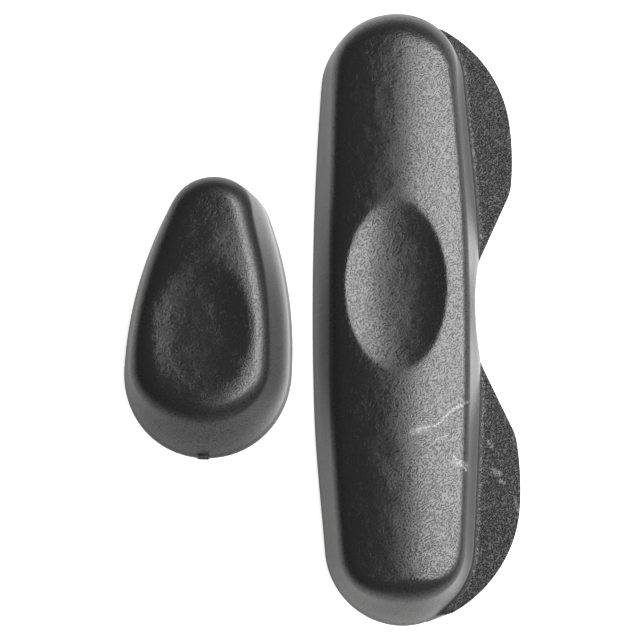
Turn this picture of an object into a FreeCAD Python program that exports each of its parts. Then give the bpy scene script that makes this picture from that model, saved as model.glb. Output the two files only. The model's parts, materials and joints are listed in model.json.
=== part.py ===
import FreeCAD, Part
import math
import os
import re
from dataclasses import dataclass

import Sketcher
from FreeCAD import Placement, Rotation, Vector

# A pair of moulded armrest pads for an office chair: a long forearm pad with a two-lobed flange
# down its right side, and a short egg-shaped pad. Each pad is a self-skinned polyurethane moulding
# with a foam core, moulded over a plastic carrier that closes its underside. Steel strips with
# weld nuts are riveted into recesses in the carrier and take the screws of the chair's arms.
#
# Frame: +X towards the flange, +Y along the long pad, +Z up. The origin is the centre of the long
# pad's underside, and both pads stand on the plane Z = 0. Millimetres and degrees.

DRIVING_DIMENSIONS = {
    # Long pad: its outline at the underside, and where the drafted walls would end at wall_top
    "long_end_radius": 32.5,
    "long_end_centre": 97,
    "long_half_width": 36.3,
    "long_top_end_radius": 22.5,
    "long_top_end_centre": 88.5,
    "long_top_half_width": 25.6,
    "long_crown_height": 29.5,
    # Small pad: the same outlines. The near end, towards -Y, is the wide one
    "small_wide_radius": 35.7,
    "small_wide_centre": 28,
    "small_nose_radius": 24.4,
    "small_nose_centre": 29,
    "small_side_radius": 165,
    "small_top_wide_radius": 26.5,
    "small_top_wide_centre": 18.5,
    "small_top_nose_radius": 15,
    "small_top_nose_centre": 27,
    "small_top_side_radius": 155,
    "small_crown_height": 28.5,
    "small_place_x": 79.1,
    "small_place_y": 3.4,
    "small_turn": 2.1,
    # Walls, crown and shoulder of both
    "wall_top": 32,
    "crown_radius": 90,
    "crown_span": 55,
    "cut_reach": 60,
    "shoulder_radius": 6,
    # Elbow hollows: the centre and half axes of the ellipsoid that shapes each one
    "long_hollow_x": 1.8,
    "long_hollow_y": 7.3,
    "long_hollow_level": 45,
    "long_hollow_half_x": 44,
    "long_hollow_half_y": 54,
    "small_hollow_y": 13.5,
    "small_hollow_level": 44.3,
    "small_hollow_half_x": 42,
    "small_hollow_half_y": 43,
    "hollow_half_z": 20,
    # Flange of the long pad: two lobes with a waist between them
    "flange_thickness": 4.5,
    "flange_reach": 49.3,
    "lobe_end_radius": 55.6,
    "lobe_end_lean": 17,
    "lobe_side_radius": 121,
    "lobe_corner_radius": 21,
    "lobe_slope": 25,
    "lobe_root": 14,
    "lobe_tip": 118,
    "waist_centre": 88.3,
    "waist_radius": 58,
    # Skin
    "skin_thickness": 2.2,
    # Carrier
    "plate_thickness": 2.5,
    "plate_inset": 4.2,
    "seat_margin": 2.5,
    "seat_height": 5,
    "rib_width": 2,
    "rib_height": 8,
    "long_rib_end": 100,
    "long_rib_half": 22,
    "small_rib_near": 50,
    "small_rib_far": 42,
    "small_rib_half": 20,
    "tower_diameter": 17,
    "tower_height": 10.5,
    "tower_bore": 14,
    "tower_bore_top": 9,
    "pocket_depth": 1.2,
    "pocket_size_x": 16,
    "pocket_size_y": 17,
    "pocket_web": 4,
    # Nut strips, weld nuts and rivets
    "long_nut_x": 18,
    "long_nut_y": 60,
    "small_nut_y": 25,
    "strip_radius": 10,
    "strip_thickness": 2,
    "strip_hole": 6.6,
    "nut_corner_radius": 5.77,
    "nut_height": 5,
    "nut_bore": 5,
    "long_rivet_x": 7,
    "small_rivet_y": 12,
    "rivet_shank": 4,
    "rivet_head": 7.2,
    "rivet_sink": 1.6,
    "rivet_upset": 6,
    "rivet_upset_height": 1.4,
}

SHEET = "Dims"
CARRIER_POCKET_ROWS = 4
CARRIER_POCKET_COLUMNS = 2

doc = FreeCAD.newDocument("armrest_pads")


def make_sheet():
    """Writes every driving dimension to the spreadsheet as a plain number with an alias."""
    sheet = doc.addObject("Spreadsheet::Sheet", SHEET)
    for row, (alias, number) in enumerate(DRIVING_DIMENSIONS.items(), start=1):
        sheet.set(f"A{row}", alias)
        sheet.set(f"B{row}", str(number))
        sheet.setAlias(f"B{row}", alias)
    doc.recompute()
    return sheet


sheet = make_sheet()


def bound(text):
    """Puts the sheet's name before every alias in an expression. Every alias has an underscore."""
    return re.sub(r"[a-z]+_\w+", lambda alias: f"{SHEET}.{alias.group(0)}", text)


def value(text):
    """The present value of an expression in the sheet's aliases."""
    return float(sheet.evalExpression(bound(text)))


def bind(item, **expressions):
    """Binds properties of an object to expressions, and gives the object back."""
    for name, text in expressions.items():
        item.setExpression(name, bound(text))
    return item


# Sketching -------------------------------------------------------------------------------------

def origin_item(body, role):
    """One of the body's own origin planes or axes."""
    return next(item for item in body.Origin.OriginFeatures if item.Role == role)


def add_sketch(body, name, level="0", plane="XY_Plane"):
    """An empty sketch on one of the body's origin planes, raised along the plane's normal."""
    sketch = body.newObject("Sketcher::SketchObject", name)
    sketch.AttachmentSupport = [(origin_item(body, plane), "")]
    sketch.MapMode = "FlatFace"
    sketch.setExpression(".AttachmentOffset.Base.z", bound(level))
    return sketch


def dimension(sketch, kind, *places, text):
    """A dimension on a sketch, bound to an expression in the sheet's aliases."""
    size = math.radians(value(text)) if kind == "Angle" else value(text)
    index = sketch.addConstraint(Sketcher.Constraint(kind, *places, size))
    sketch.setExpression(f"Constraints[{index}]", bound(text))


def hold_point(sketch, geometry, corner, x, y):
    """Holds a point at x, y, each an expression. A coordinate of "0" puts it on the axis."""
    if x == "0":
        sketch.addConstraint(Sketcher.Constraint("PointOnObject", geometry, corner, -2))
    elif x:
        dimension(sketch, "DistanceX", -1, 1, geometry, corner, text=x)
    if y == "0":
        sketch.addConstraint(Sketcher.Constraint("PointOnObject", geometry, corner, -1))
    elif y:
        dimension(sketch, "DistanceY", -1, 1, geometry, corner, text=y)


def add_arc(sketch, centre, radius, start, end):
    """An arc, counterclockwise between two angles in radians. Gives its number in the sketch."""
    circle = Part.Circle(Vector(*centre, 0), Vector(0, 0, 1), radius)
    return sketch.addGeometry(Part.ArcOfCircle(circle, start, end))


def add_line(sketch, start, end):
    """A line between two points. Gives its number in the sketch."""
    return sketch.addGeometry(Part.LineSegment(Vector(*start, 0), Vector(*end, 0)))


def join_ends(sketch, kind, pairs):
    """Joins ends of pieces: each pair is (piece, corner, piece, corner)."""
    for pair in pairs:
        sketch.addConstraint(Sketcher.Constraint(kind, *pair))


def draw_circle(sketch, x, y, radius):
    """A circle whose centre and radius are expressions."""
    centre = Vector(value(x), value(y), 0)
    circle = sketch.addGeometry(Part.Circle(centre, Vector(0, 0, 1), value(radius)))
    dimension(sketch, "Radius", circle, text=radius)
    hold_point(sketch, circle, 3, x, y)


def draw_rectangle(sketch, left, right, low, high):
    """A rectangle between two x and two y expressions."""
    x0, x1, y0, y1 = value(left), value(right), value(low), value(high)
    corners = [(x0, y0), (x1, y0), (x1, y1), (x0, y1)]
    sides = [add_line(sketch, corners[i], corners[(i + 1) % 4]) for i in range(4)]
    join_ends(sketch, "Coincident", [(sides[i], 2, sides[(i + 1) % 4], 1) for i in range(4)])
    for i, side in enumerate(sides):
        sketch.addConstraint(Sketcher.Constraint("Vertical" if i % 2 else "Horizontal", side))
    hold_point(sketch, sides[0], 1, left, low)
    hold_point(sketch, sides[1], 2, right, high)


def draw_slot(sketch, ends, radius, along="x", across="0"):
    """A slot with round ends. Its end centres are two expressions along x or along y."""
    first, second = [(end, across) if along == "x" else (across, end) for end in ends]
    start = Vector(value(first[0]), value(first[1]), 0)
    finish = Vector(value(second[0]), value(second[1]), 0)
    run = finish - start
    heading = math.atan2(run.y, run.x)
    size = value(radius)
    side = Vector(-math.sin(heading), math.cos(heading), 0) * size
    quarter = math.pi / 2
    far = add_arc(sketch, finish[:2], size, heading - quarter, heading + quarter)
    near = add_arc(sketch, start[:2], size, heading + quarter, heading + 3 * quarter)
    left = add_line(sketch, (finish + side)[:2], (start + side)[:2])
    right = add_line(sketch, (start - side)[:2], (finish - side)[:2])
    join_ends(sketch, "Tangent", [(far, 2, left, 1), (left, 2, near, 1), (near, 2, right, 1),
                                  (right, 2, far, 1)])
    sketch.addConstraint(Sketcher.Constraint("Equal", far, near))
    dimension(sketch, "Radius", far, text=radius)
    hold_point(sketch, near, 3, *first)
    hold_point(sketch, far, 3, *second)


@dataclass(frozen=True)
class Outline:
    """A pad's plan outline: two round ends on the Y axis, joined by long bulging side arcs.

    Every field is an expression. near_centre is how far the near end's centre lies towards -Y.
    """
    near_radius: str
    near_centre: str
    far_radius: str
    far_centre: str
    side_radius: str

    def inset(self, gap):
        """The same outline, a gap further in all round."""
        return Outline(f"{self.near_radius} - {gap}", self.near_centre, f"{self.far_radius} - {gap}",
                       self.far_centre, f"{self.side_radius} - {gap}")

    def draw(self, sketch):
        """Draws the outline as four tangent arcs."""
        near_radius, far_radius = value(self.near_radius), value(self.far_radius)
        near_y, far_y = -value(self.near_centre), value(self.far_centre)
        side_radius = value(self.side_radius)
        near_gap, far_gap = side_radius - near_radius, side_radius - far_radius
        side_y = (near_gap ** 2 - far_gap ** 2 - near_y ** 2 + far_y ** 2) / (2 * (far_y - near_y))
        side_x = math.sqrt(near_gap ** 2 - (near_y - side_y) ** 2)
        low = math.atan2(near_y - side_y, side_x)
        high = math.atan2(far_y - side_y, side_x)
        right = add_arc(sketch, (-side_x, side_y), side_radius, low, high)
        far = add_arc(sketch, (0, far_y), far_radius, high, math.pi - high)
        left = add_arc(sketch, (side_x, side_y), side_radius, math.pi - high, math.pi - low)
        near = add_arc(sketch, (0, near_y), near_radius, math.pi - low, 2 * math.pi + low)
        join_ends(sketch, "Tangent", [(right, 2, far, 1), (far, 2, left, 1), (left, 2, near, 1),
                                      (near, 2, right, 1)])
        sketch.addConstraint(Sketcher.Constraint("Equal", right, left))
        dimension(sketch, "Radius", right, text=self.side_radius)
        dimension(sketch, "Radius", far, text=self.far_radius)
        dimension(sketch, "Radius", near, text=self.near_radius)
        hold_point(sketch, far, 3, "0", self.far_centre)
        hold_point(sketch, near, 3, "0", f"-({self.near_centre})")


def bulge_radius(half_width, centre, radius):
    """The side arc that passes through half_width and is tangent to two equal round ends."""
    return f"({half_width}^2 + {centre}^2 - {radius}^2) / (2 * ({half_width} - {radius}))"


# Features --------------------------------------------------------------------------------------

def add_body(name):
    return doc.addObject("PartDesign::Body", name)


def add_pad(body, sketch, length):
    """A pad upwards from a sketch."""
    feature = body.newObject("PartDesign::Pad", f"{sketch.Name}_pad")
    feature.Profile = sketch
    bind(feature, Length=length)
    doc.recompute()
    return feature


def add_cut(body, sketch, through=False, length="1"):
    """A pocket that removes material above a sketch, or right through on both sides of it."""
    before = body.Shape.Volume
    feature = body.newObject("PartDesign::Pocket", f"{sketch.Name}_cut")
    feature.Profile = sketch
    feature.Reversed = not through
    if through:
        feature.Type = "ThroughAll"
        feature.Midplane = True
    else:
        bind(feature, Length=length)
    doc.recompute()
    assert body.Shape.Volume < before, f"{feature.Name} cuts nothing"
    return feature


def add_loft(body, base, top):
    """A straight loft between two outlines: the pad's drafted walls."""
    low = add_sketch(body, f"{body.Name}_base")
    base.draw(low)
    high = add_sketch(body, f"{body.Name}_top", "wall_top")
    top.draw(high)
    doc.recompute()
    feature = body.newObject("PartDesign::AdditiveLoft", f"{body.Name}_walls")
    feature.Profile = low
    feature.Sections = [high]
    doc.recompute()
    return feature


def cut_crown(body, height, inset):
    """Trims the top to an arched crown that runs the length of the pad."""
    sketch = add_sketch(body, f"{body.Name}_crown", plane="XZ_Plane")
    radius, span, reach = value(f"crown_radius - {inset}"), value("crown_span"), value("cut_reach")
    centre = value(f"{height} - crown_radius")
    edge = centre + math.sqrt(radius ** 2 - span ** 2)
    lean = math.asin(span / radius)
    arch = add_arc(sketch, (0, centre), radius, math.pi / 2 - lean, math.pi / 2 + lean)
    left = add_line(sketch, (-span, edge), (-span, reach))
    top = add_line(sketch, (-span, reach), (span, reach))
    right = add_line(sketch, (span, reach), (span, edge))
    join_ends(sketch, "Coincident", [(arch, 2, left, 1), (left, 2, top, 1), (top, 2, right, 1),
                                     (right, 2, arch, 1)])
    sketch.addConstraint(Sketcher.Constraint("Vertical", left))
    sketch.addConstraint(Sketcher.Constraint("Vertical", right))
    sketch.addConstraint(Sketcher.Constraint("Horizontal", top))
    dimension(sketch, "Radius", arch, text=f"crown_radius - {inset}")
    hold_point(sketch, arch, 3, "0", f"{height} - crown_radius")
    hold_point(sketch, left, 2, "-crown_span", "cut_reach")
    hold_point(sketch, right, 1, "crown_span", "")
    return add_cut(body, sketch, through=True)


def round_shoulder(body, feature, inset):
    """Rounds the edge all round the crown, which is the only face that is a cylinder along Y."""
    crown = next(face for face in feature.Shape.Faces
                 if isinstance(face.Surface, Part.Cylinder) and abs(face.Surface.Axis.y) > 0.9)
    names = [f"Edge{i}" for i, edge in enumerate(feature.Shape.Edges, start=1)
             if any(edge.isSame(other) for other in crown.Edges)]
    fillet = body.newObject("PartDesign::Fillet", f"{body.Name}_shoulder")
    fillet.Base = (feature, names)
    bind(fillet, Radius=f"shoulder_radius - {inset}")
    doc.recompute()
    return fillet


def cut_hollow(body, place, half_x, half_y, inset):
    """Sinks the elbow hollow into the crown: a shallow bite of an ellipsoid lying along Y."""
    before = body.Shape.Volume
    feature = body.newObject("PartDesign::SubtractiveEllipsoid", f"{body.Name}_hollow")
    feature.AttachmentSupport = [(origin_item(body, "XY_Plane"), "")]
    feature.MapMode = "FlatFace"
    feature.Angle1, feature.Angle2, feature.Angle3 = -90, 90, 360
    feature.AttachmentOffset = Placement(Vector(0, 0, 0), Rotation(Vector(1, 0, 0), 90))
    bind(feature, Radius1=f"{half_y} + {inset}", Radius2=f"{half_x} + {inset}",
         Radius3=f"hollow_half_z + {inset}")
    for axis, text in zip("xyz", place):
        feature.setExpression(f".AttachmentOffset.Base.{axis}", bound(text))
    doc.recompute()
    assert body.Shape.Volume < before, f"{feature.Name} cuts nothing"


def cut_waist(body, gap):
    """Takes the round waist out of the right side, flange and wall foot together."""
    sketch = add_sketch(body, f"{body.Name}_waist")
    draw_circle(sketch, "waist_centre", "0", f"waist_radius + {gap}")
    doc.recompute()
    add_cut(body, sketch, through=True)


# The long pad's flange -------------------------------------------------------------------------

def draw_lobe(sketch, gap):
    """Half of the flange: end arc, side arc, corner, and a slope down to the waist circle.

    The remaining lines close the shape inside the pad. gap moves the whole edge inwards.
    """
    lean = math.radians(value("lobe_end_lean"))
    slope = math.radians(value("lobe_slope"))
    end_radius, side_radius = value(f"lobe_end_radius - {gap}"), value(f"lobe_side_radius - {gap}")
    corner_radius, tip_radius = value(f"lobe_corner_radius - {gap}"), value(f"long_end_radius - {gap}")
    offset = value("lobe_end_radius - long_end_radius")
    tip_y = value("long_end_centre")
    end = Vector(-offset * math.sin(lean), tip_y - offset * math.cos(lean), 0)
    tip = Vector(tip_radius * math.sin(lean), tip_y + tip_radius * math.cos(lean), 0)
    side_x = value("flange_reach - lobe_side_radius")
    spread = side_radius - end_radius
    side = Vector(side_x, end.y - math.sqrt(spread ** 2 - (end.x - side_x) ** 2), 0)
    joint = math.atan2(end.y - side.y, end.x - side.x)
    # The slope is a line at a set distance from the waist circle's centre. The corner's centre
    # keeps its own radius from that line and from the side arc.
    waist = Vector(value("waist_centre"), 0, 0)
    outward = Vector(math.cos(slope), -math.sin(slope), 0)
    along = Vector(math.sin(slope), math.cos(slope), 0)
    touch = waist - outward * value(f"waist_radius + {gap}")
    foot = touch - outward * corner_radius
    reach = side_radius - corner_radius
    gap_vector = foot - side
    middle = gap_vector.dot(along)
    travel = -middle + math.sqrt(middle ** 2 - gap_vector.dot(gap_vector) + reach ** 2)
    corner = foot + along * travel
    corner_top = math.atan2(corner.y - side.y, corner.x - side.x)
    slope_top = corner + outward * corner_radius
    root = value("lobe_root")
    slope_foot = touch + along * ((root - touch.y) / along.y)
    closing = value("lobe_tip")

    ring = sketch.addGeometry(Part.Circle(waist, Vector(0, 0, 1), value(f"waist_radius + {gap}")), True)
    end_arc = add_arc(sketch, end[:2], end_radius, joint, math.pi / 2 - lean)
    side_arc = add_arc(sketch, side[:2], side_radius, corner_top, joint)
    corner_arc = add_arc(sketch, corner[:2], corner_radius, -slope, corner_top)
    ramp = add_line(sketch, slope_foot[:2], slope_top[:2])
    bottom = add_line(sketch, (0, root), slope_foot[:2])
    spine = add_line(sketch, (0, closing), (0, root))
    cap = add_line(sketch, tip[:2], (0, closing))
    join_ends(sketch, "Tangent", [(ramp, 2, corner_arc, 1), (corner_arc, 2, side_arc, 1),
                                  (side_arc, 2, end_arc, 1)])
    join_ends(sketch, "Coincident", [(end_arc, 2, cap, 1), (cap, 2, spine, 1), (spine, 2, bottom, 1),
                                     (bottom, 2, ramp, 1)])
    sketch.addConstraint(Sketcher.Constraint("Tangent", ramp, ring))
    sketch.addConstraint(Sketcher.Constraint("Horizontal", bottom))
    dimension(sketch, "Radius", ring, text=f"waist_radius + {gap}")
    hold_point(sketch, ring, 3, "waist_centre", "0")
    dimension(sketch, "Angle", ramp, text="90 - lobe_slope")
    dimension(sketch, "Radius", corner_arc, text=f"lobe_corner_radius - {gap}")
    dimension(sketch, "Radius", side_arc, text=f"lobe_side_radius - {gap}")
    hold_point(sketch, side_arc, 3, "flange_reach - lobe_side_radius", "")
    dimension(sketch, "Radius", end_arc, text=f"lobe_end_radius - {gap}")
    hold_point(sketch, end_arc, 3, "-(lobe_end_radius - long_end_radius) * sin(lobe_end_lean)",
               "long_end_centre - (lobe_end_radius - long_end_radius) * cos(lobe_end_lean)")
    hold_point(sketch, cap, 1, f"(long_end_radius - {gap}) * sin(lobe_end_lean)", "")
    hold_point(sketch, spine, 1, "0", "lobe_tip")
    hold_point(sketch, spine, 2, "0", "lobe_root")


def add_flange(body, gap, thickness):
    """Both lobes of the flange: one drawn, the other its mirror image."""
    sketch = add_sketch(body, f"{body.Name}_lobe")
    draw_lobe(sketch, gap)
    doc.recompute()
    lobe = add_pad(body, sketch, thickness)
    mirror = body.newObject("PartDesign::Mirrored", f"{body.Name}_lobes")
    mirror.Originals = [lobe]
    mirror.MirrorPlane = (origin_item(body, "XZ_Plane"), [""])
    body.Tip = mirror
    doc.recompute()


# Pads ------------------------------------------------------------------------------------------

@dataclass(frozen=True)
class PadDesign:
    """What one pad is made from. Lengths and places are expressions."""
    name: str
    base: Outline
    top: Outline
    crown_height: str
    hollow_place: tuple
    hollow_half_x: str
    hollow_half_y: str
    has_flange: bool
    strip_axis: str
    nut_reach: str
    strip_places: dict
    rivet_reach: str
    rib_ends: tuple
    rib_half: str
    cross_ribs: tuple

    def node(self, piece):
        return f"{self.name}_{piece}"

    def place(self, along, across):
        """x and y of a point given along and across the nut strips."""
        return (along, across) if self.strip_axis == "x" else (across, along)


LONG_PAD = PadDesign(
    name="long_pad",
    base=Outline("long_end_radius", "long_end_centre", "long_end_radius", "long_end_centre",
                 bulge_radius("long_half_width", "long_end_centre", "long_end_radius")),
    top=Outline("long_top_end_radius", "long_top_end_centre", "long_top_end_radius",
                "long_top_end_centre",
                bulge_radius("long_top_half_width", "long_top_end_centre", "long_top_end_radius")),
    crown_height="long_crown_height",
    hollow_place=("-long_hollow_x", "long_hollow_y", "long_hollow_level"),
    hollow_half_x="long_hollow_half_x",
    hollow_half_y="long_hollow_half_y",
    has_flange=True,
    strip_axis="x",
    nut_reach="long_nut_x",
    strip_places={"front": "-long_nut_y", "rear": "long_nut_y"},
    rivet_reach="long_rivet_x",
    rib_ends=("-long_rib_end", "long_rib_end"),
    rib_half="long_rib_half",
    cross_ribs=("-long_rib_end", "-long_nut_y / 2", "0", "long_nut_y / 2", "long_rib_end"),
)

SMALL_PAD = PadDesign(
    name="small_pad",
    base=Outline("small_wide_radius", "small_wide_centre", "small_nose_radius",
                 "small_nose_centre", "small_side_radius"),
    top=Outline("small_top_wide_radius", "small_top_wide_centre", "small_top_nose_radius",
                "small_top_nose_centre", "small_top_side_radius"),
    crown_height="small_crown_height",
    hollow_place=("0", "-small_hollow_y", "small_hollow_level"),
    hollow_half_x="small_hollow_half_x",
    hollow_half_y="small_hollow_half_y",
    has_flange=False,
    strip_axis="y",
    nut_reach="small_nut_y",
    strip_places={"centre": "0"},
    rivet_reach="small_rivet_y",
    rib_ends=("-small_rib_near", "small_rib_far"),
    rib_half="small_rib_half",
    cross_ribs=("-small_nut_y", "0"),
)


def make_moulding(pad, piece, inset):
    """The pad's domed shape, inset all round and under the crown, as a solid body."""
    body = add_body(pad.node(piece))
    add_loft(body, pad.base.inset(inset), pad.top.inset(inset))
    crown = cut_crown(body, pad.crown_height, inset)
    round_shoulder(body, crown, inset)
    return body


def make_outer_form(pad):
    """The whole outside of a pad, flange and all."""
    body = make_moulding(pad, "outer_form", "0")
    if pad.has_flange:
        add_flange(body, "0", "flange_thickness")
        cut_waist(body, "0")
    cut_hollow(body, pad.hollow_place, pad.hollow_half_x, pad.hollow_half_y, "0")
    return body


def make_core_form(pad):
    """The space inside the skin and above the carrier's plate."""
    body = make_moulding(pad, "core_form", "skin_thickness")
    if pad.has_flange:
        cut_waist(body, "skin_thickness")
    cut_hollow(body, pad.hollow_place, pad.hollow_half_x, pad.hollow_half_y, "skin_thickness")
    slab = add_sketch(body, f"{body.Name}_slab")
    draw_rectangle(slab, "-cut_reach", "cut_reach", "-long_end_centre - cut_reach",
                   "long_end_centre + cut_reach")
    doc.recompute()
    add_cut(body, slab, length="plate_thickness")
    return body


def make_carrier_form(pad):
    """The carrier with no recesses: plate, raised strip seats, nut towers and upper ribs."""
    body = add_body(pad.node("carrier_form"))
    plate = add_sketch(body, f"{body.Name}_plate")
    pad.base.inset("plate_inset").draw(plate)
    doc.recompute()
    add_pad(body, plate, "plate_thickness")
    if pad.has_flange:
        add_flange(body, "plate_inset", "plate_thickness")
    spine = add_sketch(body, f"{body.Name}_spine")
    draw_rectangle(spine, "-rib_width / 2", "rib_width / 2", *pad.rib_ends)
    doc.recompute()
    add_pad(body, spine, "rib_height")
    for number, y in enumerate(pad.cross_ribs, start=1):
        rib = add_sketch(body, f"{body.Name}_rib_{number}")
        draw_rectangle(rib, f"-{pad.rib_half}", pad.rib_half, f"{y} - rib_width / 2",
                       f"{y} + rib_width / 2")
        doc.recompute()
        add_pad(body, rib, "rib_height")
    for side, across in pad.strip_places.items():
        seat = add_sketch(body, f"{body.Name}_{side}_seat")
        draw_slot(seat, (f"-{pad.nut_reach}", pad.nut_reach), "strip_radius + seat_margin",
                  pad.strip_axis, across)
        doc.recompute()
        add_pad(body, seat, "seat_height")
        towers = add_sketch(body, f"{body.Name}_{side}_towers")
        for sign in ("-", ""):
            draw_circle(towers, *pad.place(f"{sign}{pad.nut_reach}", across), "tower_diameter / 2")
        doc.recompute()
        add_pad(body, towers, "tower_height")
    if pad.has_flange:
        cut_waist(body, "plate_inset")
    return body


def make_recess_form(pad):
    """What is taken out of the carrier: strip recesses, nut bores and shallow pockets."""
    body = add_body(pad.node("recess_form"))
    for side, across in pad.strip_places.items():
        recess = add_sketch(body, f"{body.Name}_{side}_strip")
        draw_slot(recess, (f"-{pad.nut_reach}", pad.nut_reach), "strip_radius", pad.strip_axis, across)
        doc.recompute()
        add_pad(body, recess, "strip_thickness")
        bores = add_sketch(body, f"{body.Name}_{side}_bores")
        for sign in ("-", ""):
            draw_circle(bores, *pad.place(f"{sign}{pad.nut_reach}", across), "tower_bore / 2")
        doc.recompute()
        add_pad(body, bores, "tower_bore_top")
    return body


def make_pockets():
    """The shallow pockets in the long carrier's underside, between its two strips."""
    body = add_body("long_pad_pocket_form")
    sketch = add_sketch(body, "long_pad_pocket")
    draw_rectangle(sketch, "-pocket_web / 2 - pocket_size_x", "-pocket_web / 2",
                   "-1.5 * pocket_web - 2 * pocket_size_y", "-1.5 * pocket_web - pocket_size_y")
    doc.recompute()
    pocket = add_pad(body, sketch, "pocket_depth")
    grid = body.newObject("PartDesign::LinearPattern", "long_pad_pocket_grid")
    grid.Originals = [pocket]
    grid.Direction = (sketch, ["H_Axis"])
    grid.Occurrences = CARRIER_POCKET_COLUMNS
    grid.Mode = "Spacing"
    grid.setExpression("Offset", bound("pocket_size_x + pocket_web"))
    grid.Direction2 = (sketch, ["V_Axis"])
    grid.Occurrences2 = CARRIER_POCKET_ROWS
    grid.Mode2 = "Spacing"
    grid.setExpression("Offset2", bound("pocket_size_y + pocket_web"))
    body.Tip = grid
    doc.recompute()
    return body


def put(kind, name, **expressions):
    """A primitive or boolean with bound sizes."""
    return bind(doc.addObject(kind, name), **expressions)


def place_at(item, x, y, z="0"):
    """Binds an object's position to three expressions."""
    for axis, text in zip("xyz", (x, y, z)):
        item.setExpression(f".Placement.Base.{axis}", bound(text))
    return item


def join(kind, name, shapes):
    """A fuse or a compound of several objects, or the object itself where there is one."""
    item = doc.addObject(kind, name)
    setattr(item, "Links" if kind == "Part::Compound" else "Shapes", shapes)
    return item


def cut(name, base, tool):
    item = doc.addObject("Part::Cut", name)
    item.Base = base
    item.Tool = tool
    return item


def make_rivet(name, x, y):
    """A countersunk rivet: sunk head, shank, and the head that is set above the strip's seat."""
    head = put("Part::Cone", f"{name}_head", Radius1="rivet_head / 2", Radius2="rivet_shank / 2",
               Height="rivet_sink")
    shank = put("Part::Cylinder", f"{name}_shank", Radius="rivet_shank / 2",
                Height="seat_height + rivet_upset_height / 2")
    upset = put("Part::Cone", f"{name}_upset", Radius1="rivet_upset / 2",
                Radius2="rivet_shank / 2", Height="rivet_upset_height")
    place_at(head, x, y)
    place_at(shank, x, y)
    place_at(upset, x, y, "seat_height")
    return join("Part::MultiFuse", name, [head, shank, upset])


def make_rivets(pad):
    """Two rivets for each strip, in a list."""
    rivets = []
    for side, across in pad.strip_places.items():
        for number, sign in enumerate(("-", ""), start=1):
            x, y = pad.place(f"{sign}{pad.rivet_reach}", across)
            rivets.append(make_rivet(f"{pad.name}_{side}_rivet_{number}", x, y))
    return rivets


def make_nuts(pad, side, across):
    """Two hexagonal weld nuts standing on a strip."""
    nuts = []
    for number, sign in enumerate(("-", ""), start=1):
        x, y = pad.place(f"{sign}{pad.nut_reach}", across)
        name = f"{pad.name}_{side}_nut_{number}"
        block = put("Part::Prism", f"{name}_block", Circumradius="nut_corner_radius",
                    Height="nut_height")
        bore = put("Part::Cylinder", f"{name}_bore", Radius="nut_bore / 2", Height="nut_height")
        place_at(block, x, y, "strip_thickness")
        place_at(bore, x, y, "strip_thickness")
        nuts.append(cut(name, block, bore))
    return nuts


def make_strip(pad, side, across, rivet_holes):
    """A steel strip with round ends, two screw holes, and holes that fit the rivets."""
    body = add_body(f"{pad.name}_{side}_strip_blank")
    sketch = add_sketch(body, f"{body.Name}_outline")
    draw_slot(sketch, (f"-{pad.nut_reach}", pad.nut_reach), "strip_radius", pad.strip_axis, across)
    for sign in ("-", ""):
        draw_circle(sketch, *pad.place(f"{sign}{pad.nut_reach}", across), "strip_hole / 2")
    doc.recompute()
    add_pad(body, sketch, "strip_thickness")
    name = "nut_strip" if side == "centre" else f"{side}_nut_strip"
    return cut(pad.node(name), body, rivet_holes)


def make_pad(pad):
    """Every sub-part of one pad."""
    outer = make_outer_form(pad)
    core = make_core_form(pad)
    carrier_form = make_carrier_form(pad)
    recesses = make_recess_form(pad)
    rivets = make_rivets(pad)
    rivet_holes = join("Part::MultiFuse", pad.node("rivet_holes"), rivets)
    removed = [recesses, rivet_holes] + ([make_pockets()] if pad.has_flange else [])
    parts = {
        "skin": cut(pad.node("skin"), outer,
                    join("Part::MultiFuse", pad.node("filling"), [core, carrier_form])),
        "foam": cut(pad.node("foam"), core,
                    join("Part::MultiFuse", pad.node("embedded"), [carrier_form, rivet_holes])),
        "carrier": cut(pad.node("carrier"), carrier_form,
                       join("Part::MultiFuse", pad.node("removed"), removed)),
        "rivets": join("Part::Compound", pad.node("rivets"), rivets),
    }
    nuts = []
    for side, across in pad.strip_places.items():
        parts[f"{side}_strip"] = make_strip(pad, side, across, rivet_holes)
        nuts += make_nuts(pad, side, across)
    parts["nuts"] = join("Part::Compound", pad.node("weld_nuts"), nuts)
    doc.recompute()
    return list(parts.values())


def place_small_pad(items):
    """Sets the small pad down to the left of the long one, its nose turned a little inwards."""
    for item in items:
        place_at(item, "-small_place_x", "small_place_y")
        item.setExpression(".Placement.Rotation.Angle", bound("-small_turn"))
    doc.recompute()


def check_and_write(items):
    """Stops on any failed object or bad shape, then writes a STEP file for each sub-part."""
    for item in doc.Objects:
        assert "Invalid" not in item.State and "Error" not in item.State, f"{item.Name} failed"
    os.makedirs("parts", exist_ok=True)
    for item in items:
        item.Label = item.Name
        assert not item.Shape.isNull() and item.Shape.isValid(), f"{item.Name} has no valid shape"
        solids = item.Shape.Solids
        print(f"{item.Label}: {len(solids)} solids, {item.Shape.Volume / 1000:.1f} cm3")
        item.Shape.exportStep(f"parts/{item.Label}.step")


long_pad_items = make_pad(LONG_PAD)
small_pad_items = make_pad(SMALL_PAD)
place_small_pad(small_pad_items)
check_and_write(long_pad_items + small_pad_items)
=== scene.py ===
"""Two moulded armrest pads of an office chair, shown on a pale table.

The long pad has a domed top with an oval elbow hollow and a thin two-lobed flange down its right
side. The small pad is egg-shaped, with a broad hollow at its wide end. Both are black self-skinned
polyurethane with a moulded leather grain. Their carriers, nut strips, nuts and rivets come from the
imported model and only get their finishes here.
"""

import json
import logging
import math
from dataclasses import dataclass, field
from enum import Enum
from typing import Callable, Optional, Sequence, Union

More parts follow.
